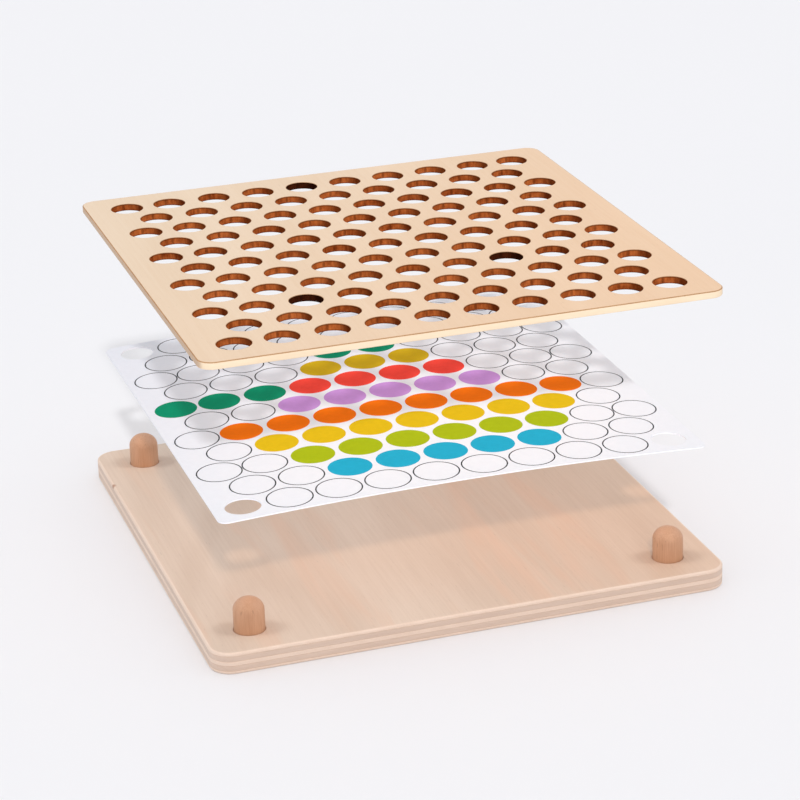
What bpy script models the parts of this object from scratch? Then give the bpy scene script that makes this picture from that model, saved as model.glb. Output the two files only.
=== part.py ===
"""A wooden bead-pattern board: a plywood base with four dowel pegs, a pattern card and a perforated bead board.

Metres, +Z up. The origin is the centre of the base's underside, +X runs along the front edge and -Y is the front.
The card and the bead board are held up above the base, as the set is taken apart; both slide down Z onto the pegs.
"""

import math

import bmesh
import bpy
from mathutils import Vector

MM = 0.001

# Bead lattice: rows of ten and of nine holes in turn, seen alike on the card and on the bead board.
ROWS = 11
LONG_ROW = 10
SHORT_ROW = LONG_ROW - 1
PITCH = 19.8 * MM
ROW_SPACING = 17.7 * MM
END_PULL = 1.2 * MM  # the first and last places of a long row sit this much nearer the middle

# Bead board
BOARD_SIDE = 210.0 * MM
BOARD_THICKNESS = 3.0 * MM
BOARD_CORNER = 6.0 * MM
BOARD_ARRIS = 0.35 * MM
BEAD_HOLE_RADIUS = 6.8 * MM
BEAD_HOLE_FACETS = 16

# Pattern card
CARD_SIDE = 200.0 * MM
CARD_THICKNESS = 0.5 * MM
CARD_CORNER = 4.0 * MM
CARD_HOLE_RADIUS = 7.1 * MM

# Base: five plies with glue lines between them, listed from the bottom up.
BASE_SIDE = 214.0 * MM
BASE_CORNER = 9.0 * MM
BASE_ARRIS = 0.9 * MM
GLUE_LINE = 0.3 * MM
FACE_PLY = 1.3 * MM
CROSS_PLY = 1.8 * MM
CORE_PLY = 1.6 * MM
PLIES = (
    ("base_back_veneer", FACE_PLY),
    ("base_lower_crossband", CROSS_PLY),
    ("base_core_ply", CORE_PLY),
    ("base_upper_crossband", CROSS_PLY),
    ("base_face_veneer", FACE_PLY),
)
DRILLED_PLIES = 3  # the peg sockets go through this many plies, counted from the top
BASE_THICKNESS = sum(thickness for _, thickness in PLIES) + (len(PLIES) - 1) * GLUE_LINE

# Dowel pegs
PEG_RADIUS = 6.2 * MM
PEG_HEIGHT = 13.5 * MM  # above the base
PEG_DOME = 5.2 * MM  # height of the rounded top
PEG_FACETS = 32
DOME_RINGS = 6
SOCKET_CLEARANCE = 0.3 * MM
SOCKET_DEPTH = sum(thickness for _, thickness in PLIES[-DRILLED_PLIES:]) + (DRILLED_PLIES - 1) * GLUE_LINE

# Heights above the base's upper face at which the loose layers are held
CARD_LIFT = 50.7 * MM  # underside of the card
BOARD_LIFT = 115.2 * MM  # underside of the bead board

CORNER_SEGMENTS = 8
ROUND_FACETS = 32


def material(name, colour, roughness):
    made = bpy.data.materials.new(name)
    made.use_nodes = True
    shader = made.node_tree.nodes["Principled BSDF"]
    shader.inputs["Base Color"].default_value = (*colour, 1.0)
    shader.inputs["Roughness"].default_value = roughness
    shader.inputs["Metallic"].default_value = 0.0
    return made


def row_places(row):
    """The bead places of one row, as (x, y); row 0 is the front row."""
    count = SHORT_ROW if row % 2 else LONG_ROW
    y = (row - (ROWS - 1) / 2) * ROW_SPACING
    places = []
    for column in range(count):
        x = (column - (count - 1) / 2) * PITCH
        if count == LONG_ROW and column in (0, LONG_ROW - 1):
            x -= math.copysign(END_PULL, x)
        places.append((x, y))
    return places


def bead_places():
    return [place for row in range(ROWS) for place in row_places(row)]


def peg_places():
    """The four corner places: front left, front right, back left, back right."""
    front, back = row_places(0), row_places(ROWS - 1)
    return [front[0], front[-1], back[0], back[-1]]


def rounded_square(side, radius):
    """Counter-clockwise outline of a square with round corners."""
    inner = side / 2 - radius
    centres = ((inner, inner), (-inner, inner), (-inner, -inner), (inner, -inner))
    outline = []
    for quarter, (x, y) in enumerate(centres):
        for step in range(CORNER_SEGMENTS + 1):
            angle = math.pi / 2 * (quarter + step / CORNER_SEGMENTS)
            outline.append(Vector((x + radius * math.cos(angle), y + radius * math.sin(angle), 0.0)))
    return outline


def add_object(name, mesh_builder, surface, location=(0.0, 0.0, 0.0), parent=None):
    mesh = bpy.data.meshes.new(name)
    mesh_builder.to_mesh(mesh)
    mesh_builder.free()
    mesh.shade_smooth()
    mesh.set_sharp_from_angle(angle=math.radians(30))
    made = bpy.data.objects.new(name, mesh)
    made.location = location
    if surface:
        made.data.materials.append(surface)
    bpy.context.scene.collection.objects.link(made)
    made.parent = parent
    return made


def plate_mesh(side, radius, thickness, eased_low=0.0, eased_high=0.0):
    """A round-cornered square plate standing on z = 0, with its lower and upper arrises eased where asked."""
    builder = bmesh.new()
    corners = [builder.verts.new(point) for point in rounded_square(side, radius)]
    floor = builder.faces.new(corners)
    raised = bmesh.ops.extrude_face_region(builder, geom=[floor])["geom"]
    top_corners = [item for item in raised if isinstance(item, bmesh.types.BMVert)]
    bmesh.ops.translate(builder, verts=top_corners, vec=(0.0, 0.0, thickness))
    bmesh.ops.recalc_face_normals(builder, faces=builder.faces)
    for height, width in ((0.0, eased_low), (thickness, eased_high)):
        if width:
            rim = [edge for edge in builder.edges if all(abs(v.co.z - height) < 1e-6 for v in edge.verts)]
            bmesh.ops.bevel(builder, geom=rim, offset=width, segments=2, profile=0.5, affect="EDGES")
    return builder


def drill(plate, places, radius, facets):
    """Cuts round through-holes at these places, which are measured from the plate's own origin."""
    builder = bmesh.new()
    reach = 4 * plate.dimensions.z + 2 * MM
    for x, y in places:
        made = bmesh.ops.create_cone(
            builder, cap_ends=True, segments=facets, radius1=radius, radius2=radius, depth=reach
        )
        bmesh.ops.translate(builder, verts=made["verts"], vec=(x, y, 0.0))
    cutter = add_object(plate.name + "_cutter", builder, None, plate.location, plate.parent)
    cutter.hide_render = True
    cutter.display_type = "WIRE"
    cut = plate.modifiers.new("holes", "BOOLEAN")
    cut.operation = "DIFFERENCE"
    cut.solver = "EXACT"
    cut.object = cutter


def peg_mesh():
    """A dowel turned about Z, with z = 0 at the base's upper face and its foot down in the socket."""
    profile = [(0.0, -SOCKET_DEPTH), (PEG_RADIUS, -SOCKET_DEPTH)]
    shoulder = PEG_HEIGHT - PEG_DOME
    for ring in range(DOME_RINGS + 1):
        angle = math.pi / 2 * ring / DOME_RINGS
        profile.append((PEG_RADIUS * math.cos(angle), shoulder + PEG_DOME * math.sin(angle)))
    builder = bmesh.new()
    points = [builder.verts.new((r, 0.0, z)) for r, z in profile]
    edges = [builder.edges.new(pair) for pair in zip(points, points[1:])]
    bmesh.ops.spin(
        builder,
        geom=points + edges,
        axis=(0.0, 0.0, 1.0),
        cent=(0.0, 0.0, 0.0),
        angle=2 * math.pi,
        steps=PEG_FACETS,
    )
    bmesh.ops.remove_doubles(builder, verts=builder.verts, dist=1e-6)
    bmesh.ops.recalc_face_normals(builder, faces=builder.faces)
    return builder


def add_slide(name, height):
    """An empty on the vertical line along which a loose layer slides."""
    slide = bpy.data.objects.new(name, None)
    slide.location = (0.0, 0.0, height)
    bpy.context.scene.collection.objects.link(slide)
    return slide


def build_base(face_wood, cross_wood):
    height = 0.0
    for index, (name, thickness) in enumerate(PLIES):
        lowest, highest = index == 0, index == len(PLIES) - 1
        shape = plate_mesh(
            BASE_SIDE,
            BASE_CORNER,
            thickness,
            eased_low=BASE_ARRIS if lowest else 0.0,
            eased_high=BASE_ARRIS if highest else 0.0,
        )
        grain_across = "crossband" in name
        ply = add_object(name, shape, cross_wood if grain_across else face_wood, (0.0, 0.0, height))
        bpy.context.view_layer.update()
        if index >= len(PLIES) - DRILLED_PLIES:
            drill(ply, peg_places(), PEG_RADIUS + SOCKET_CLEARANCE, ROUND_FACETS)
        height += thickness + GLUE_LINE


def build_pegs(wood):
    sides = ("front_left", "front_right", "back_left", "back_right")
    for side, (x, y) in zip(sides, peg_places()):
        add_object("dowel_peg_" + side, peg_mesh(), wood, (x, y, BASE_THICKNESS))


def build_card(stock):
    slide = add_slide("card_slide", BASE_THICKNESS + CARD_LIFT)
    card = add_object("pattern_card", plate_mesh(CARD_SIDE, CARD_CORNER, CARD_THICKNESS), stock, parent=slide)
    bpy.context.view_layer.update()
    drill(card, peg_places(), CARD_HOLE_RADIUS, ROUND_FACETS)


def build_bead_board(wood):
    slide = add_slide("bead_board_slide", BASE_THICKNESS + BOARD_LIFT)
    shape = plate_mesh(BOARD_SIDE, BOARD_CORNER, BOARD_THICKNESS, BOARD_ARRIS, BOARD_ARRIS)
    board = add_object("bead_board", shape, wood, parent=slide)
    bpy.context.view_layer.update()
    drill(board, bead_places(), BEAD_HOLE_RADIUS, BEAD_HOLE_FACETS)


def main():
    for old in list(bpy.data.objects):
        bpy.data.objects.remove(old, do_unlink=True)
    face_wood = material("face_veneer", (0.73, 0.55, 0.40), 0.55)
    cross_wood = material("cross_veneer", (0.60, 0.42, 0.30), 0.70)
    peg_wood = material("dowel_beech", (0.61, 0.33, 0.18), 0.50)
    board_wood = material("bead_board_wood", (0.84, 0.66, 0.46), 0.55)
    card_stock = material("card_stock", (0.90, 0.88, 0.92), 0.45)
    build_base(face_wood, cross_wood)
    build_pegs(peg_wood)
    build_card(card_stock)
    build_bead_board(board_wood)


main()
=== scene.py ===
"""Looks of a wooden bead pattern board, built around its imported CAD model.

The base's plies, its pegs, the printed card and the perforated board are each rebuilt as a fine closed
mesh in the place of their CAD node, with wood, card and ink finishes made from nodes. Metres, +Z up, in
the CAD's own frame.
"""

import math

import bmesh
import bpy
from mathutils import Matrix, Vector
from mathutils.geometry import delaunay_2d_cdt


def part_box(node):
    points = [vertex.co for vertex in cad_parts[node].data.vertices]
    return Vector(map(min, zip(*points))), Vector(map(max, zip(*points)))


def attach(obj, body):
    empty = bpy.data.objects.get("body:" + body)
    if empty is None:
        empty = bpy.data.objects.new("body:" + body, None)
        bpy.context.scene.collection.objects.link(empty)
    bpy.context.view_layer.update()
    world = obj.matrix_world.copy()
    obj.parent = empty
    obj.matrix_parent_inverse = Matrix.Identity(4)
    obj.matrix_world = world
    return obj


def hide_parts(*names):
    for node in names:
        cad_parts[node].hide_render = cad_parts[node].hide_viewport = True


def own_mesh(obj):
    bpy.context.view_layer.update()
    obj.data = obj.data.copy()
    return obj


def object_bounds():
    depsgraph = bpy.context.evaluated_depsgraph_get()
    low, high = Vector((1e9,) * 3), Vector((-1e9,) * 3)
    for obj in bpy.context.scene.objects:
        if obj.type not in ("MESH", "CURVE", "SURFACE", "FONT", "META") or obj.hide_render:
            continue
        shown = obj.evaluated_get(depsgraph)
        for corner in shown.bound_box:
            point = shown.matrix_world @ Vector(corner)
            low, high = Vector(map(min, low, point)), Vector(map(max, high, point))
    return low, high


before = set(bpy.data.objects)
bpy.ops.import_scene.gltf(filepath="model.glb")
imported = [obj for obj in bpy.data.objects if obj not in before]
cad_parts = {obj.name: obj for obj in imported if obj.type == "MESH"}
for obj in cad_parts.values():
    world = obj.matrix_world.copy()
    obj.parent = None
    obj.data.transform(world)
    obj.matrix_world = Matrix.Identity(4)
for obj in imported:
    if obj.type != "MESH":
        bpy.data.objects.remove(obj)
cad_low, cad_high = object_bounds()

MM = 0.001
TURN = 2 * math.pi
WHITE = (1.0, 1.0, 1.0)

# Bead lattice, the same on the card and on the bead board: rows of ten and of nine places in turn
ROWS = 11
LONG_ROW = 10
PITCH = 19.8 * MM

# Fineness of the meshes
CORNER_STEPS = 14
ARRIS_STEPS = 4
HOLE_FACETS = 64
PRINT_FACETS = 64
PEG_FACETS = 72
DOME_STEPS = 18
INSIDE_ONLY = 1  # has a flat region's triangles made only inside its outlines
MERGE_DISTANCE = 1e-7  # corners nearer than this would be taken as one

# Base, its plies named from the bottom up
PLIES = ("back_veneer", "lower_crossband", "core_ply", "upper_crossband", "face_veneer")
DRILLED_PLIES = 3  # counted from the top
BASE_CORNER = 9.0 * MM
BASE_ARRIS = 0.9 * MM
PLY_ARRIS = 0.06 * MM
SOCKET_CLEARANCE = 0.3 * MM
GLUE_SET_BACK = 0.12 * MM
GLUE_CLEARANCE = 0.01 * MM
KNOT_RADIUS = 1.3 * MM
KNOT_DEPTH = 68.0 * MM  # how far behind the middle a small knot shows on the left arris
KNOT_BROWN = (0.330, 0.140, 0.070)

# Pegs
PEG_DOME = 5.2 * MM
PEG_SHOULDER = 0.35 * MM  # softness of the turn from the side into the dome
PEG_SIDES = ("front_left", "front_right", "back_left", "back_right")

# Card
CARD_CORNER = 4.0 * MM
CARD_HOLE = 7.1 * MM
CARD_BOW = 2.7 * MM  # the middle stands this much higher than the left and right edges
CARD_GRID = 5.0 * MM
GRID_MARGIN = 1.5 * MM  # how clear the grid stays of the card's holes and round corners
DISC_RADIUS = 8.85 * MM
RING_RADIUS = 9.25 * MM
RING_LINE = 0.55 * MM

# Bead board
BOARD_CORNER = 6.0 * MM
BOARD_ARRIS = 0.35 * MM
BEAD_HOLE = 6.8 * MM
BEAD_RIM = 0.18 * MM
LIT_SIDE = (0.35, -1.0, 0.0)  # walls of the holes that face this way get painted light, and those facing away painted shade
CHARRED_PLACES = {(10, 4), (2, 2), (3, 6)}  # (row, place) of the holes that are burnt almost black

# Broad drifts of tone across the upper faces, the card's being painted shade: direction, start and end
# along it, tint at the end
BASE_DRIFT = ((1.0, 0.1, 0.0), -40.0 * MM, 120.0 * MM, (1.01, 0.92, 0.86))
BOARD_DRIFT = ((1.0, -0.6, 0.0), -140.0 * MM, 140.0 * MM, (1.04, 0.92, 0.83))
# Painted shade: the card stock darkens towards the back left, where the board above shades it
CARD_PAINTED_SHADE = ((-0.7, 1.0, 0.0), -80.0 * MM, 110.0 * MM, (0.90, 0.90, 0.92))

# Printed discs: row, first and last place, ink. Row 0 is the front row. All other places are empty rings.
PRINTED = (
    (1, 2, 6, "blue"),
    (2, 2, 7, "lime"),
    (3, 1, 7, "yellow"),
    (4, 1, 8, "orange"),
    (5, 2, 6, "purple"),
    (6, 0, 2, "green"),
    (6, 3, 6, "red"),
    (7, 3, 5, "mustard"),
    (8, 4, 5, "green"),
)
INKS = {
    "green": (0.003, 0.283, 0.142),
    "mustard": (0.665, 0.429, 0.010),
    "red": (0.960, 0.070, 0.047),
    "purple": (0.630, 0.315, 0.735),
    "orange": (0.970, 0.183, 0.001),
    "yellow": (0.791, 0.515, 0.007),
    "lime": (0.429, 0.515, 0.007),
    "blue": (0.020, 0.434, 0.638),
    "outline": (0.030, 0.030, 0.035),
}

# Material slots of the plates: the base's use the first two, and the card's the first and then its inks
FACE, EDGE, RIM, WALL, CHARRED_WALL = range(5)

# Shader numbers
MIX_FIRST, MIX_SECOND, MIX_RESULT = 6, 7, 2  # the mix node's sockets for colours
NOISE_LOW, NOISE_HIGH = 0.3, 0.7  # noise seldom leaves this range
WOOD_GLOSS = 0.3
PEG_GLOSS = 0.4
CARD_GLOSS = 0.25
INK_GLOSS = 0.02

# Camera: angles in degrees, distance in metres, lens in millimetres
CAMERA_AZIMUTH = 17.56
CAMERA_ELEVATION = 21.81
CAMERA_ROLL = -1.79
CAMERA_DISTANCE = 1.1445
CAMERA_LENS = 123.2
CAMERA_AIM = Vector((3.2, -3.0, -4.8)) * MM  # from the middle of the CAD box to the middle of the picture
CAMERA_NEAR, CAMERA_FAR = 0.05, 40.0

# Lights: angles in degrees. Each layer has its own key and dome, given as strength and colour.
KEY_AZIMUTH = 13
KEY_ELEVATION = 37.5
KEY_SPREAD = 3.5
DOME_SPREAD = 150
LAYER_LIGHTS = {
    "floor": {"key": (1.10, WHITE), "dome": (1.85, WHITE)},
    "base": {"key": (1.00, (1.0, 0.70, 0.50)), "dome": (1.05, (0.93, 1.0, 1.07))},
    "card": {"key": (1.45, WHITE), "dome": (1.30, (0.91, 1.0, 1.07))},
    "board": {"key": (1.10, (1.0, 0.97, 0.93)), "dome": (1.85, (0.99, 0.98, 0.97))},
}
PEG_LIGHT_ELEVATION = 50
PEG_LIGHT_SPREAD = 20
PEG_LIGHT_STRENGTH = 0.72

# Sky: its strength falls from horizon to zenith between two heights on the unit sphere
HORIZON_STRENGTH = 0.93
ZENITH_STRENGTH = 0.20
FALL_START, FALL_END = 0.05, 0.40
SKY_COLOUR = (0.966, 0.973, 1.0, 1.0)

# Floor
FLOOR_REACH = 6.0
FLOOR_FACETS = 96
FLOOR_PALE = (0.880, 0.880, 0.906)
FLOOR_DEEP = (0.870, 0.870, 0.897)


# --- Places ---------------------------------------------------------------------------------------


peg_low, peg_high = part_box("dowel_peg_back_right")
peg_radius = (peg_high.x - peg_low.x) / 2
corner_place = (peg_low + peg_high) / 2
row_spacing = 2 * corner_place.y / (ROWS - 1)


def row_places(row):
    """The bead places of one row as (x, y). A long row's ends are drawn in, as the pegs' places are."""
    count = LONG_ROW - row % 2
    y = (row - (ROWS - 1) / 2) * row_spacing
    xs = [(place - (count - 1) / 2) * PITCH for place in range(count)]
    if count == LONG_ROW:
        xs[0], xs[-1] = -corner_place.x, corner_place.x
    return [(x, y) for x in xs]


def peg_place(side):
    low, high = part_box("dowel_peg_" + side)
    return tuple(((low + high) / 2).xy)


peg_places = {side: peg_place(side) for side in PEG_SIDES}


# --- Shader graphs --------------------------------------------------------------------------------


class Finish:
    """A material and short calls for the nodes that its pattern is made of."""

    def __init__(self, name, roughness=0.5, **constants):
        self.material = bpy.data.materials.new(name)
        self.material.use_nodes = True
        self.tree = self.material.node_tree
        self.shader = self.tree.nodes["Principled BSDF"]
        self.shader.inputs["Roughness"].default_value = roughness
        for socket, value in constants.items():
            self.shader.inputs[socket.replace("_", " ")].default_value = value
        self.place = self.tree.nodes.new("ShaderNodeTexCoord").outputs["Object"]

    def put(self, value, socket):
        """Sets a socket to a number, a colour or another node's output."""
        if isinstance(value, bpy.types.NodeSocket):
            self.tree.links.new(value, socket)
        elif socket.type == "RGBA":
            socket.default_value = (*value, 1.0)
        else:
            socket.default_value = value

    def noise(self, scale, stretch=(1, 1, 1), detail=2.0, roughness=0.5, shift=(0, 0, 0), warp=0.0):
        """Noise of about scale lumps a metre, each axis scaled again by stretch."""
        mapping = self.tree.nodes.new("ShaderNodeMapping")
        self.put(self.place, mapping.inputs["Vector"])
        self.put(stretch, mapping.inputs["Scale"])
        self.put(shift, mapping.inputs["Location"])
        made = self.tree.nodes.new("ShaderNodeTexNoise")
        self.put(mapping.outputs["Vector"], made.inputs["Vector"])
        self.put(scale, made.inputs["Scale"])
        self.put(detail, made.inputs["Detail"])
        self.put(roughness, made.inputs["Roughness"])
        self.put(warp, made.inputs["Distortion"])
        return made.outputs["Fac"]

    def calculate(self, operation, first, second=0.0):
        made = self.tree.nodes.new("ShaderNodeMath")
        made.operation = operation
        self.put(first, made.inputs[0])
        self.put(second, made.inputs[1])
        return made.outputs["Value"]

    def spread(self, value, low, high, to_low=0.0, to_high=1.0):
        """Stretches the range low to high smoothly over to_low to to_high."""
        made = self.tree.nodes.new("ShaderNodeMapRange")
        made.interpolation_type = "SMOOTHSTEP"
        self.put(value, made.inputs["Value"])
        self.put(low, made.inputs["From Min"])
        self.put(high, made.inputs["From Max"])
        self.put(to_low, made.inputs["To Min"])
        self.put(to_high, made.inputs["To Max"])
        return made.outputs["Result"]

    def even(self, noise, to_low=0.0, to_high=1.0):
        """Stretches a noise's usual range over to_low to to_high."""
        return self.spread(noise, NOISE_LOW, NOISE_HIGH, to_low, to_high)

    def total(self, *weighted):
        """Sum of values, each given as (value, weight)."""
        parts = [self.calculate("MULTIPLY", value, weight) for value, weight in weighted]
        whole = parts[0]
        for part in parts[1:]:
            whole = self.calculate("ADD", whole, part)
        return whole

    def blend(self, share, first, second, kind="MIX"):
        made = self.tree.nodes.new("ShaderNodeMix")
        made.data_type = "RGBA"
        made.blend_type = kind
        self.put(share, made.inputs["Factor"])
        self.put(first, made.inputs[MIX_FIRST])
        self.put(second, made.inputs[MIX_SECOND])
        return made.outputs[MIX_RESULT]

    def facing(self, direction):
        """How squarely the surface faces a direction: 1 towards it, -1 away from it."""
        made = self.tree.nodes.new("ShaderNodeVectorMath")
        made.operation = "DOT_PRODUCT"
        self.put(self.tree.nodes.new("ShaderNodeNewGeometry").outputs["Normal"], made.inputs[0])
        self.put(Vector(direction).normalized(), made.inputs[1])
        return made.outputs["Value"]

    def reach(self, direction):
        """How far the point lies from the middle towards a direction."""
        made = self.tree.nodes.new("ShaderNodeVectorMath")
        made.operation = "DOT_PRODUCT"
        self.put(self.place, made.inputs[0])
        self.put(Vector(direction).normalized(), made.inputs[1])
        return made.outputs["Value"]

    def drifting(self, colour, direction, start, end, tint):
        """The colour, multiplied by a tint little by little from start to end along a direction."""
        return self.blend(self.spread(self.reach(direction), start, end), colour, tint, "MULTIPLY")

    def height(self):
        split = self.tree.nodes.new("ShaderNodeSeparateXYZ")
        self.put(self.place, split.inputs["Vector"])
        return split.outputs["Z"]

    def distance(self, point):
        made = self.tree.nodes.new("ShaderNodeVectorMath")
        made.operation = "DISTANCE"
        self.put(self.place, made.inputs[0])
        self.put(point, made.inputs[1])
        return made.outputs["Value"]

    def with_knot(self, wood, point):
        """The wood's colour with a small dark knot at a point."""
        nearness = self.spread(self.distance(point), 0.6 * KNOT_RADIUS, 1.6 * KNOT_RADIUS, 0.7, 0.0)
        return self.blend(nearness, wood, KNOT_BROWN)

    def colour(self, value):
        self.put(value, self.shader.inputs["Base Color"])

    def roughen(self, value):
        self.put(value, self.shader.inputs["Roughness"])

    def bump(self, height, depth, strength=1.0):
        """height, 0 to 1, raises the surface by depth metres."""
        made = self.tree.nodes.new("ShaderNodeBump")
        self.put(strength, made.inputs["Strength"])
        self.put(depth, made.inputs["Distance"])
        self.put(height, made.inputs["Height"])
        self.put(made.outputs["Normal"], self.shader.inputs["Normal"])


def along(axis, length):
    """Noise stretch that draws lumps out along one axis to length times their width."""
    return tuple(1 / length if name == axis else 1.0 for name in "XYZ")


def darker(colour, share):
    return tuple(share * channel for channel in colour)


def veneer(name, pale, deep, blush, grain, figure=0.5, shift=(0, 0, 0), knot=None, drift=None):
    """Sliced, sanded veneer: broad tones, soft growth rings, fine fibres and short pores along the grain,
    a few streaks of blush, and a drift of tone and a small dark knot where they are asked for."""
    finish = Finish(name, Specular_IOR_Level=WOOD_GLOSS)
    broad = finish.noise(38, along(grain, 7), detail=2.0, shift=shift)
    contour = finish.noise(10, along(grain, 6), detail=1.5, roughness=0.4, shift=shift, warp=0.4)
    rings = finish.calculate("SINE", finish.calculate("MULTIPLY", contour, 70.0))
    rings = finish.spread(rings, -1.0, 1.0)
    fibre = finish.noise(900, along(grain, 45), detail=4.0, roughness=0.65, shift=shift)
    pore = finish.noise(2600, along(grain, 14), detail=1.0, shift=shift)
    streak = finish.noise(55, along(grain, 9), detail=3.0, roughness=0.6, shift=shift, warp=0.6)
    tone = finish.total((finish.even(broad), 0.45), (rings, 0.4 * figure), (finish.even(fibre), 0.28))
    wood = finish.blend(tone, pale, deep)
    wood = finish.blend(finish.spread(streak, 0.5, 0.72, 0.0, 0.9 * figure), wood, blush)
    wood = finish.blend(finish.spread(pore, 0.68, 0.82, 0.0, 0.4), wood, darker(deep, 0.75))
    if drift:
        wood = finish.drifting(wood, *drift)
    finish.colour(finish.with_knot(wood, knot) if knot else wood)
    finish.roughen(finish.even(fibre, 0.50, 0.62))
    finish.bump(fibre, 0.04 * MM, 0.4)
    return finish.material


def cut_edge(name, pale, deep, grain, shift=(0, 0, 0), sides=None, knot=None):
    """Sawn and sanded edge of a ply: fibre ends or lines, whichever the grain gives on that side.
    sides is the tint of the left and right edges."""
    finish = Finish(name, Specular_IOR_Level=WOOD_GLOSS)
    fibre = finish.noise(1500, along(grain, 16), detail=3.0, roughness=0.7, shift=shift)
    tone = finish.noise(120, along(grain, 3), detail=2.0, shift=shift)
    depth = finish.total((finish.even(tone), 0.5), (finish.even(fibre), 0.5))
    wood = finish.blend(depth, pale, deep)
    if sides:
        sideways = finish.calculate("ABSOLUTE", finish.facing((1, 0, 0)))
        wood = finish.blend(finish.spread(sideways, 0.75, 0.98, 0.0, 0.85), wood, sides)
    finish.colour(finish.with_knot(wood, knot) if knot else wood)
    finish.roughen(finish.even(fibre, 0.6, 0.78))
    finish.bump(fibre, 0.05 * MM, 0.6)
    return finish.material


def scorched(name, bright, mid, dark, low, high):
    """Laser-cut wall between two heights: toasted brown with upright streaks, painted light where it
    faces
    LIT_SIDE, painted shade where it faces away and at its rims, and with the tick that the beam leaves at
    the back of the hole."""
    finish = Finish(name, Specular_IOR_Level=0.0)
    # Painted light and shade: lightest where the wall faces LIT_SIDE, turning towards the dark colour as
    # it faces away
    lit = finish.spread(finish.facing(LIT_SIDE), 0.0, 0.95, 0.26, 1.0)
    streak = finish.noise(1300, along("Z", 7), detail=3.0, roughness=0.65)
    patch = finish.noise(330, along("Z", 1.3), detail=2.0)
    hole = finish.noise(24, detail=1.0)
    patchy, uneven = finish.spread(patch, 0.35, 0.65), finish.spread(hole, 0.35, 0.65)
    lightness = finish.total((finish.even(streak), 0.35), (patchy, 0.4), (uneven, 0.25))
    toast_and_shade = finish.blend(lightness, mid, bright)
    # the toast takes the painted light and shade of the lit mask here
    toast_and_shade = finish.blend(lit, dark, toast_and_shade)
    height = finish.height()
    # Painted shade: darker towards the top and bottom rims, so that a lighter band runs along the middle
    # as a painted highlight
    upper = finish.spread(height, high - 0.9 * MM, high - 0.15 * MM, 0.0, 0.8)
    lower = finish.spread(height, low + 0.1 * MM, low + 0.7 * MM, 0.6, 0.0)
    toast_and_shade = finish.blend(finish.calculate("MAXIMUM", upper, lower), toast_and_shade, dark)
    tick = finish.spread(finish.facing((0, -1, 0)), 0.993, 0.9995, 0.0, 0.45)
    finish.colour(finish.blend(tick, toast_and_shade, dark))
    finish.roughen(finish.even(streak, 0.45, 0.65))
    finish.bump(streak, 0.15 * MM, 0.9)
    return finish.material


def turned_beech(name, pale, deep):
    """Dowel: fine upright grain, which the dome cuts across as end grain, with dark ray flecks."""
    finish = Finish(name, Specular_IOR_Level=PEG_GLOSS)
    broad = finish.noise(170, along("Z", 8), detail=2.0)
    fibre = finish.noise(2200, along("Z", 22), detail=3.0, roughness=0.6)
    fleck = finish.noise(1500, along("Z", 6), detail=0.0)
    depth = finish.total((finish.even(broad), 0.5), (finish.even(fibre), 0.5))
    wood = finish.blend(depth, pale, deep)
    finish.colour(finish.blend(finish.spread(fleck, 0.72, 0.82, 0.0, 0.35), wood, darker(deep, 0.6)))
    finish.roughen(finish.even(fibre, 0.42, 0.58))
    finish.bump(fibre, 0.05 * MM, 0.6)
    return finish.material


def paper(name, colour, shade, roughness, gloss, drift=None):
    """Coated card or print on it: a faint mottle and the coat's fine tooth, with painted shade drifting
    across it where drift is given.
    """
    finish = Finish(name, Specular_IOR_Level=gloss)
    mottle = finish.noise(420, detail=3.0, roughness=0.6)
    tooth = finish.noise(3800, detail=2.0)
    coat = finish.blend(finish.even(mottle), colour, darker(colour, shade))
    # drift, where given, is painted shade across the card stock
    finish.colour(finish.drifting(coat, *drift) if drift else coat)
    finish.roughen(finish.even(tooth, roughness, roughness + 0.1))
    finish.bump(tooth, 0.01 * MM, 0.4)
    return finish.material


def glue(name, colour):
    finish = Finish(name, Specular_IOR_Level=WOOD_GLOSS)
    lumps = finish.noise(700, detail=2.0)
    finish.colour(finish.blend(lumps, colour, darker(colour, 0.8)))
    finish.roughen(finish.even(lumps, 0.6, 0.75))
    return finish.material


# --- Mesh building --------------------------------------------------------------------------------


def rounded_square(side, corner, inset=0.0, run_steps=1):
    """Counter-clockwise outline of a square with round corners, drawn in by inset all round. Each
    straight run between two corners takes run_steps steps."""
    reach = side / 2 - corner
    radius = corner - inset
    centres = ((reach, reach), (-reach, reach), (-reach, -reach), (reach, -reach))
    arcs = []
    for quarter, (x, y) in enumerate(centres):
        arc = []
        for step in range(CORNER_STEPS + 1):
            angle = TURN / 4 * (quarter + step / CORNER_STEPS)
            arc.append(Vector((x + radius * math.cos(angle), y + radius * math.sin(angle))))
        arcs.append(arc)
    points = []
    for arc, following in zip(arcs, arcs[1:] + arcs[:1]):
        points += arc
        points += [arc[-1].lerp(following[0], step / run_steps) for step in range(1, run_steps)]
    return points


def circle(place, radius, facets):
    """Counter-clockwise circle."""
    x, y = place
    angles = [TURN * step / facets for step in range(facets)]
    return [(x + radius * math.cos(angle), y + radius * math.sin(angle)) for angle in angles]


def edge_stations(low, high, ease_low, ease_high):
    """(inset, height) up a plate's edge, with its lower and upper arrises eased to quarter rounds."""
    stations = []
    for step in range(ARRIS_STEPS + 1):
        angle = TURN / 4 * step / ARRIS_STEPS
        stations.append((ease_low * (1 - math.sin(angle)), low + ease_low * (1 - math.cos(angle))))
    for step in range(ARRIS_STEPS + 1):
        angle = TURN / 4 * step / ARRIS_STEPS
        stations.append((ease_high * (1 - math.cos(angle)), high - ease_high * (1 - math.sin(angle))))
    return stations


def add_ring(mesh, outline, height):
    return [mesh.verts.new((x, y, height)) for x, y in outline]


def bridge(mesh, first, second, slot):
    """Quads from one ring to the next. They face away from the middle if second is the higher ring."""
    for k, start in enumerate(first):
        after = (k + 1) % len(first)
        face = mesh.faces.new((start, first[after], second[after], second[k]))
        face.material_index = slot
        face.smooth = True


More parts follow.
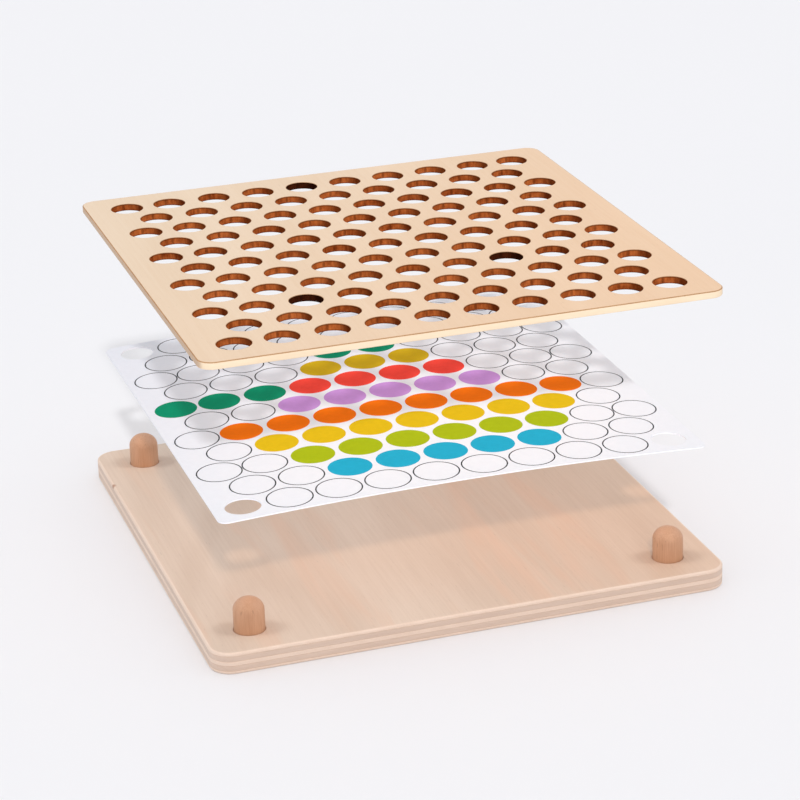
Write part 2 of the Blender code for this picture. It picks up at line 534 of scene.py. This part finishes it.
def fill(mesh, outer, holes, upward, prints=(), loose=()):
    """Triangulates the flat region inside outer and outside the holes. prints are (ring, slot), and a
    later one wins. loose are further vertices inside."""
    rings = [outer, *holes, *(ring for ring, _ in prints)]
    verts = [vert for ring in rings for vert in ring] + list(loose)
    loops, start = [], 0
    for ring in rings:
        loops.append(list(range(start, start + len(ring))))
        start += len(ring)
    flat = delaunay_2d_cdt([vert.co.xy for vert in verts], [], loops, INSIDE_ONLY, MERGE_DISTANCE)
    corners, _, triangles, sources, _, insides = flat
    first_print = 1 + len(holes)
    for triangle, inside in zip(triangles, insides):
        if 0 not in inside or any(0 < ring < first_print for ring in inside):
            continue
        picked = [verts[sources[corner][0]] for corner in triangle]
        face = mesh.faces.new(picked if upward else picked[::-1])
        printed = [ring for ring in inside if ring >= first_print]
        face.material_index = prints[max(printed) - first_print][1] if printed else 0
        face.smooth = True
    assert len(corners) == len(verts)


def sharpen(rings):
    """Marks the rings where a flat face meets an edge, so that the face stays flat in the light."""
    for ring in rings:
        for k, vert in enumerate(ring):
            follower = ring[(k + 1) % len(ring)]
            for edge in vert.link_edges:
                if edge.other_vert(vert) is follower:
                    edge.smooth = False


def plate(
    mesh, side, corner, stations, slots, holes=(), prints=(), loose_low=(), loose_high=(), run_steps=1
):
    """A closed round-cornered plate. slots gives the material of each band between stations. holes are
    (place, radius, stations, slots)."""
    rings = []
    for inset, height in stations:
        rings.append(add_ring(mesh, rounded_square(side, corner, inset, run_steps), height))
    for lower, upper, slot in zip(rings, rings[1:], slots):
        bridge(mesh, lower, upper, slot)
    low_rings, high_rings = [], []
    for place, radius, hole_stations, hole_slots in holes:
        bored = []
        for inset, height in hole_stations:
            bored.append(add_ring(mesh, circle(place, radius + inset, HOLE_FACETS), height))
        for lower, upper, slot in zip(bored, bored[1:], hole_slots):
            bridge(mesh, upper, lower, slot)
        low_rings.append(bored[0])
        high_rings.append(bored[-1])
    fill(mesh, rings[0], low_rings, upward=False, loose=loose_low)
    fill(mesh, rings[-1], high_rings, upward=True, prints=prints, loose=loose_high)
    sharpen([rings[0], rings[-1], *low_rings, *high_rings])


def finish_piece(name, mesh, materials, body, nodes):
    """Makes the object with its materials, hangs it on the empty of the body that it rides on, and hides
    the CAD nodes that it stands in for.
    """
    mesh.normal_update()
    data = bpy.data.meshes.new(name)
    mesh.to_mesh(data)
    mesh.free()
    for material in materials:
        data.materials.append(material)
    piece = bpy.data.objects.new(name, data)
    bpy.context.scene.collection.objects.link(piece)
    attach(piece, body)
    if nodes:
        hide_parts(*nodes)
    return piece


# --- The object -----------------------------------------------------------------------------------


def straight_sockets(low, high, slot):
    """The peg sockets through a layer of the base between two heights, as holes of a plate."""
    radius = peg_radius + SOCKET_CLEARANCE
    return [(place, radius, [(0.0, low), (0.0, high)], [slot]) for place in peg_places.values()]


def build_base():
    pieces = []
    _, face_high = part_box("base_face_veneer")
    knot = (-face_high.x, KNOT_DEPTH, face_high.z - BASE_ARRIS / 2)
    blush = (0.700, 0.495, 0.375)
    pale, deep = (0.716, 0.596, 0.495), (0.611, 0.488, 0.393)
    top = veneer("veneer_top", pale, deep, blush, "Y", 0.6, knot=knot, drift=BASE_DRIFT)
    pale, deep = (0.730, 0.590, 0.470), (0.620, 0.480, 0.370)
    under = veneer("veneer_under", pale, deep, blush, "Y", shift=(0.3, 0.1, 0.2))
    light_edge = cut_edge("ply_edge_light", (0.800, 0.665, 0.570), (0.750, 0.605, 0.505), "Y", knot=knot)
    dark_edge = cut_edge("ply_edge_dark", (0.670, 0.545, 0.465), (0.620, 0.490, 0.410), "X")
    boxes = [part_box("base_" + name) for name in PLIES]
    for index, (name, (low, high)) in enumerate(zip(PLIES, boxes)):
        ease_low = BASE_ARRIS if index == 0 else PLY_ARRIS
        ease_high = BASE_ARRIS if index == len(PLIES) - 1 else PLY_ARRIS
        stations = edge_stations(low.z, high.z, ease_low, ease_high)
        bands = [EDGE] * (len(stations) - 1)
        drilled = index >= len(PLIES) - DRILLED_PLIES
        sockets = straight_sockets(low.z, high.z, EDGE) if drilled else []
        mesh = bmesh.new()
        plate(mesh, high.x - low.x, BASE_CORNER, stations, bands, sockets)
        cross = "crossband" in name
        face = under if index == 0 else top
        finishes = [dark_edge, dark_edge] if cross else [face, light_edge]
        pieces.append(finish_piece(name, mesh, finishes, "base", ["base_" + name]))
    line = glue("glue_line", (0.700, 0.550, 0.450))
    for index, ((_, below), (above, edge)) in enumerate(zip(boxes, boxes[1:])):
        low, high = below.z + GLUE_CLEARANCE, above.z - GLUE_CLEARANCE
        drilled = index >= len(PLIES) - DRILLED_PLIES
        sockets = straight_sockets(low, high, FACE) if drilled else []
        side = 2 * edge.x - 2 * GLUE_SET_BACK
        corner = BASE_CORNER - GLUE_SET_BACK
        mesh = bmesh.new()
        plate(mesh, side, corner, [(0.0, low), (0.0, high)], [FACE], sockets)
        pieces.append(finish_piece(f"glue_line_{index + 1}", mesh, [line], "base", []))
    return pieces


def peg_profile(height, radius):
    """(radius, height) up the peg from the rim of its foot to the dome's crown."""
    shoulder = height - PEG_DOME
    points = [(radius, 0.0), (radius, shoulder - PEG_SHOULDER)]
    for step in range(1, DOME_STEPS):
        angle = TURN / 4 * step / DOME_STEPS
        points.append((radius * math.cos(angle), shoulder + PEG_DOME * math.sin(angle)))
    return points


def build_pegs():
    beech = turned_beech("turned_beech", (0.605, 0.355, 0.225), (0.505, 0.275, 0.160))
    pieces = []
    for side, place in peg_places.items():
        low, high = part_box("dowel_peg_" + side)
        mesh = bmesh.new()
        rings = []
        for radius, height in peg_profile(high.z - low.z, (high.x - low.x) / 2):
            rings.append(add_ring(mesh, circle(place, radius, PEG_FACETS), low.z + height))
        for lower, upper in zip(rings, rings[1:]):
            bridge(mesh, lower, upper, FACE)
        crown = mesh.verts.new((*place, high.z))
        last = rings[-1]
        for k, vert in enumerate(last):
            face = mesh.faces.new((vert, last[(k + 1) % len(last)], crown))
            face.smooth = True
        foot = mesh.faces.new(rings[0][::-1])
        foot.smooth = True
        sharpen([rings[0]])
        nodes = ["dowel_peg_" + side]
        pieces.append(finish_piece("peg_" + side, mesh, [beech], "base", nodes))
    return pieces


def card_prints(mesh, height, slots):
    """The printing as (ring, slot). An empty ring is its outline and then bare card inside it."""
    inks = {}
    for row, first, last, ink in PRINTED:
        for place in range(first, last + 1):
            inks[row, place] = ink
    prints = []
    for row in range(ROWS):
        places = row_places(row)
        for index, place in enumerate(places):
            if row in (0, ROWS - 1) and index in (0, len(places) - 1):
                continue
            if (row, index) in inks:
                layers = [(DISC_RADIUS, slots[inks[row, index]])]
            else:
                layers = [(RING_RADIUS, slots["outline"]), (RING_RADIUS - RING_LINE, FACE)]
            for radius, slot in layers:
                prints.append((add_ring(mesh, circle(place, radius, PRINT_FACETS), height), slot))
    return prints


def card_grid(mesh, side, height):
    """Loose vertices that let the card bend smoothly, clear of its edge and of its holes."""
    count = int(side / CARD_GRID)
    hole_reach = CARD_HOLE + GRID_MARGIN
    corner_start = side / 2 - CARD_CORNER - GRID_MARGIN
    verts = []
    for column in range(1, count):
        for line in range(1, count):
            x, y = ((step - count / 2) * CARD_GRID for step in (column, line))
            clear = all(math.dist((x, y), place) > hole_reach for place in peg_places.values())
            if clear and min(abs(x), abs(y)) <= corner_start:
                verts.append(mesh.verts.new((x, y, height)))
    return verts


def build_card():
    low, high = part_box("pattern_card")
    side = high.x - low.x
    mesh = bmesh.new()
    slots = {ink: 1 + index for index, ink in enumerate(INKS)}
    straight = [(0.0, low.z), (0.0, high.z)]
    holes = [(place, CARD_HOLE, straight, [FACE]) for place in peg_places.values()]
    prints = card_prints(mesh, high.z, slots)
    plate(
        mesh,
        side,
        CARD_CORNER,
        straight,
        [FACE],
        holes,
        prints=prints,
        loose_low=card_grid(mesh, side, low.z),
        loose_high=card_grid(mesh, side, high.z),
        run_steps=round(side / CARD_GRID),
    )
    for vert in mesh.verts:
        vert.co.z += CARD_BOW * (1 - (2 * vert.co.x / side) ** 2)
    # The card stock carries painted shade, darker towards the back left
    finishes = [paper("card_stock", (0.940, 0.935, 0.975), 0.98, 0.45, CARD_GLOSS, drift=CARD_PAINTED_SHADE)]
    finishes += [paper("ink_" + ink, colour, 0.95, 0.55, INK_GLOSS) for ink, colour in INKS.items()]
    card = finish_piece("printed_card", mesh, finishes, "card", ["pattern_card"])
    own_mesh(card)
    return card


def build_board():
    low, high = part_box("bead_board")
    stations = edge_stations(low.z, high.z, BOARD_ARRIS, BOARD_ARRIS)
    bands = [EDGE] * (len(stations) - 1)
    bands[-ARRIS_STEPS:] = [RIM] * ARRIS_STEPS
    hole_stations = edge_stations(low.z, high.z, BEAD_RIM, BEAD_RIM)
    holes = []
    for row in range(ROWS):
        for index, place in enumerate(row_places(row)):
            wall = CHARRED_WALL if (row, index) in CHARRED_PLACES else WALL
            hole_bands = [wall] * (len(hole_stations) - 1)
            hole_bands[-ARRIS_STEPS:] = [RIM] * ARRIS_STEPS
            holes.append((place, BEAD_HOLE, hole_stations, hole_bands))
    mesh = bmesh.new()
    plate(mesh, high.x - low.x, BOARD_CORNER, stations, bands, holes)
    pale, deep, blush = (0.865, 0.700, 0.535), (0.800, 0.620, 0.450), (0.830, 0.640, 0.480)
    edge_pale, edge_deep, edge_sides = (0.930, 0.760, 0.560), (0.870, 0.690, 0.490), (0.560, 0.390, 0.270)
    # bright, mid and dark of the walls; dark is also the colour of their painted shade
    toasted = ((0.600, 0.165, 0.042), (0.200, 0.033, 0.005), (0.050, 0.006, 0.001))
    charred = ((0.075, 0.016, 0.005), (0.025, 0.005, 0.002), (0.008, 0.002, 0.001))
    finishes = [
        veneer("board_veneer", pale, deep, blush, "Y", 0.3, shift=(0.7, 0.2, 0.0), drift=BOARD_DRIFT),
        cut_edge("board_edge", edge_pale, edge_deep, "X", sides=edge_sides),
        cut_edge("toasted_rim", (0.560, 0.320, 0.160), (0.420, 0.220, 0.100), "Z"),
        scorched("burnt_wall_painted_shade", *toasted, low.z, high.z),
        scorched("charred_wall_painted_shade", *charred, low.z, high.z),
    ]
    nodes = ["bead_board"]
    return finish_piece("perforated_board", mesh, finishes, "bead_board", nodes)


# --- The set --------------------------------------------------------------------------------------


def heading(azimuth, elevation):
    """Direction of travel, azimuth from +Y towards +X and elevation below the level, in degrees."""
    turn, drop = math.radians(azimuth), math.radians(elevation)
    return Vector((math.sin(turn) * math.cos(drop), math.cos(turn) * math.cos(drop), -math.sin(drop)))


def point_along(thing, direction, roll=0.0):
    look = direction.to_track_quat("-Z", "Y").to_matrix().to_4x4()
    thing.rotation_euler = (look @ Matrix.Rotation(math.radians(roll), 4, "Z")).to_euler()


def add_floor():
    finish = Finish("pale_floor", roughness=0.7, Specular_IOR_Level=0.2)
    haze = finish.noise(3, detail=1.0)
    finish.colour(finish.blend(haze, FLOOR_PALE, FLOOR_DEEP))
    mesh = bmesh.new()
    bmesh.ops.create_circle(mesh, cap_ends=True, radius=FLOOR_REACH, segments=FLOOR_FACETS)
    data = bpy.data.meshes.new("floor")
    mesh.to_mesh(data)
    mesh.free()
    data.materials.append(finish.material)
    floor = bpy.data.objects.new("floor", data)
    bpy.context.scene.collection.objects.link(floor)
    return floor


def add_world():
    """Sky that is bright low down and dimmer overhead."""
    world = bpy.data.worlds.new("studio")
    world.use_nodes = True
    bpy.context.scene.world = world
    nodes, links = world.node_tree.nodes, world.node_tree.links
    split = nodes.new("ShaderNodeSeparateXYZ")
    links.new(nodes.new("ShaderNodeTexCoord").outputs["Generated"], split.inputs["Vector"])
    height = nodes.new("ShaderNodeMapRange")
    height.interpolation_type = "SMOOTHSTEP"
    height.inputs["From Min"].default_value = FALL_START
    height.inputs["From Max"].default_value = FALL_END
    height.inputs["To Min"].default_value = HORIZON_STRENGTH
    height.inputs["To Max"].default_value = ZENITH_STRENGTH
    links.new(split.outputs["Z"], height.inputs["Value"])
    links.new(height.outputs["Result"], nodes["Background"].inputs["Strength"])
    nodes["Background"].inputs["Color"].default_value = SKY_COLOUR


def collection_of(name, things):
    made = bpy.data.collections.new(name)
    for thing in things:
        made.objects.link(thing)
    return made


def add_sun(name, azimuth, elevation, spread, strength, colour, receivers, blockers=None):
    data = bpy.data.lights.new(name, "SUN")
    data.angle = math.radians(spread)
    data.energy = strength
    data.color = colour
    lamp = bpy.data.objects.new(name, data)
    bpy.context.scene.collection.objects.link(lamp)
    point_along(lamp, heading(azimuth, elevation))
    lamp.light_linking.receiver_collection = collection_of(name + "_lights", receivers)
    if blockers:
        lamp.light_linking.blocker_collection = collection_of(name + "_shadows", blockers)


def light_layer(name, pieces, blockers):
    """Lights a layer with a key that everything shades and an overhead dome that only blockers shade."""
    light = LAYER_LIGHTS[name]
    add_sun(name + "_key", KEY_AZIMUTH, KEY_ELEVATION, KEY_SPREAD, *light["key"], pieces)
    add_sun(name + "_dome", 0, 90, DOME_SPREAD, *light["dome"], pieces, blockers)


def add_camera():
    data = bpy.data.cameras.new("camera")
    data.lens = CAMERA_LENS
    data.clip_start, data.clip_end = CAMERA_NEAR, CAMERA_FAR
    camera = bpy.data.objects.new("camera", data)
    bpy.context.scene.collection.objects.link(camera)
    look = heading(CAMERA_AZIMUTH, CAMERA_ELEVATION)
    camera.location = (cad_low + cad_high) / 2 + CAMERA_AIM - look * CAMERA_DISTANCE
    point_along(camera, look, CAMERA_ROLL)
    bpy.context.scene.camera = camera


plies = build_base()
pegs = build_pegs()
base_pieces = plies + pegs
card = build_card()
board = build_board()
floor = add_floor()

# A lifted layer shades the key light of the layer below it, but not that layer's dome light.
light_layer("floor", [floor], blockers=base_pieces)
light_layer("base", base_pieces, blockers=base_pieces)
light_layer("card", [card], blockers=[floor])
light_layer("board", [board], blockers=[board])
for side, azimuth in (("left", CAMERA_AZIMUTH + 90), ("right", CAMERA_AZIMUTH - 90)):
    add_sun(
        "peg_light_" + side,
        azimuth,
        PEG_LIGHT_ELEVATION,
        PEG_LIGHT_SPREAD,
        PEG_LIGHT_STRENGTH,
        WHITE,
        base_pieces,
        pegs,
    )
add_world()
add_camera()
bpy.context.scene.view_settings.view_transform = "Standard"
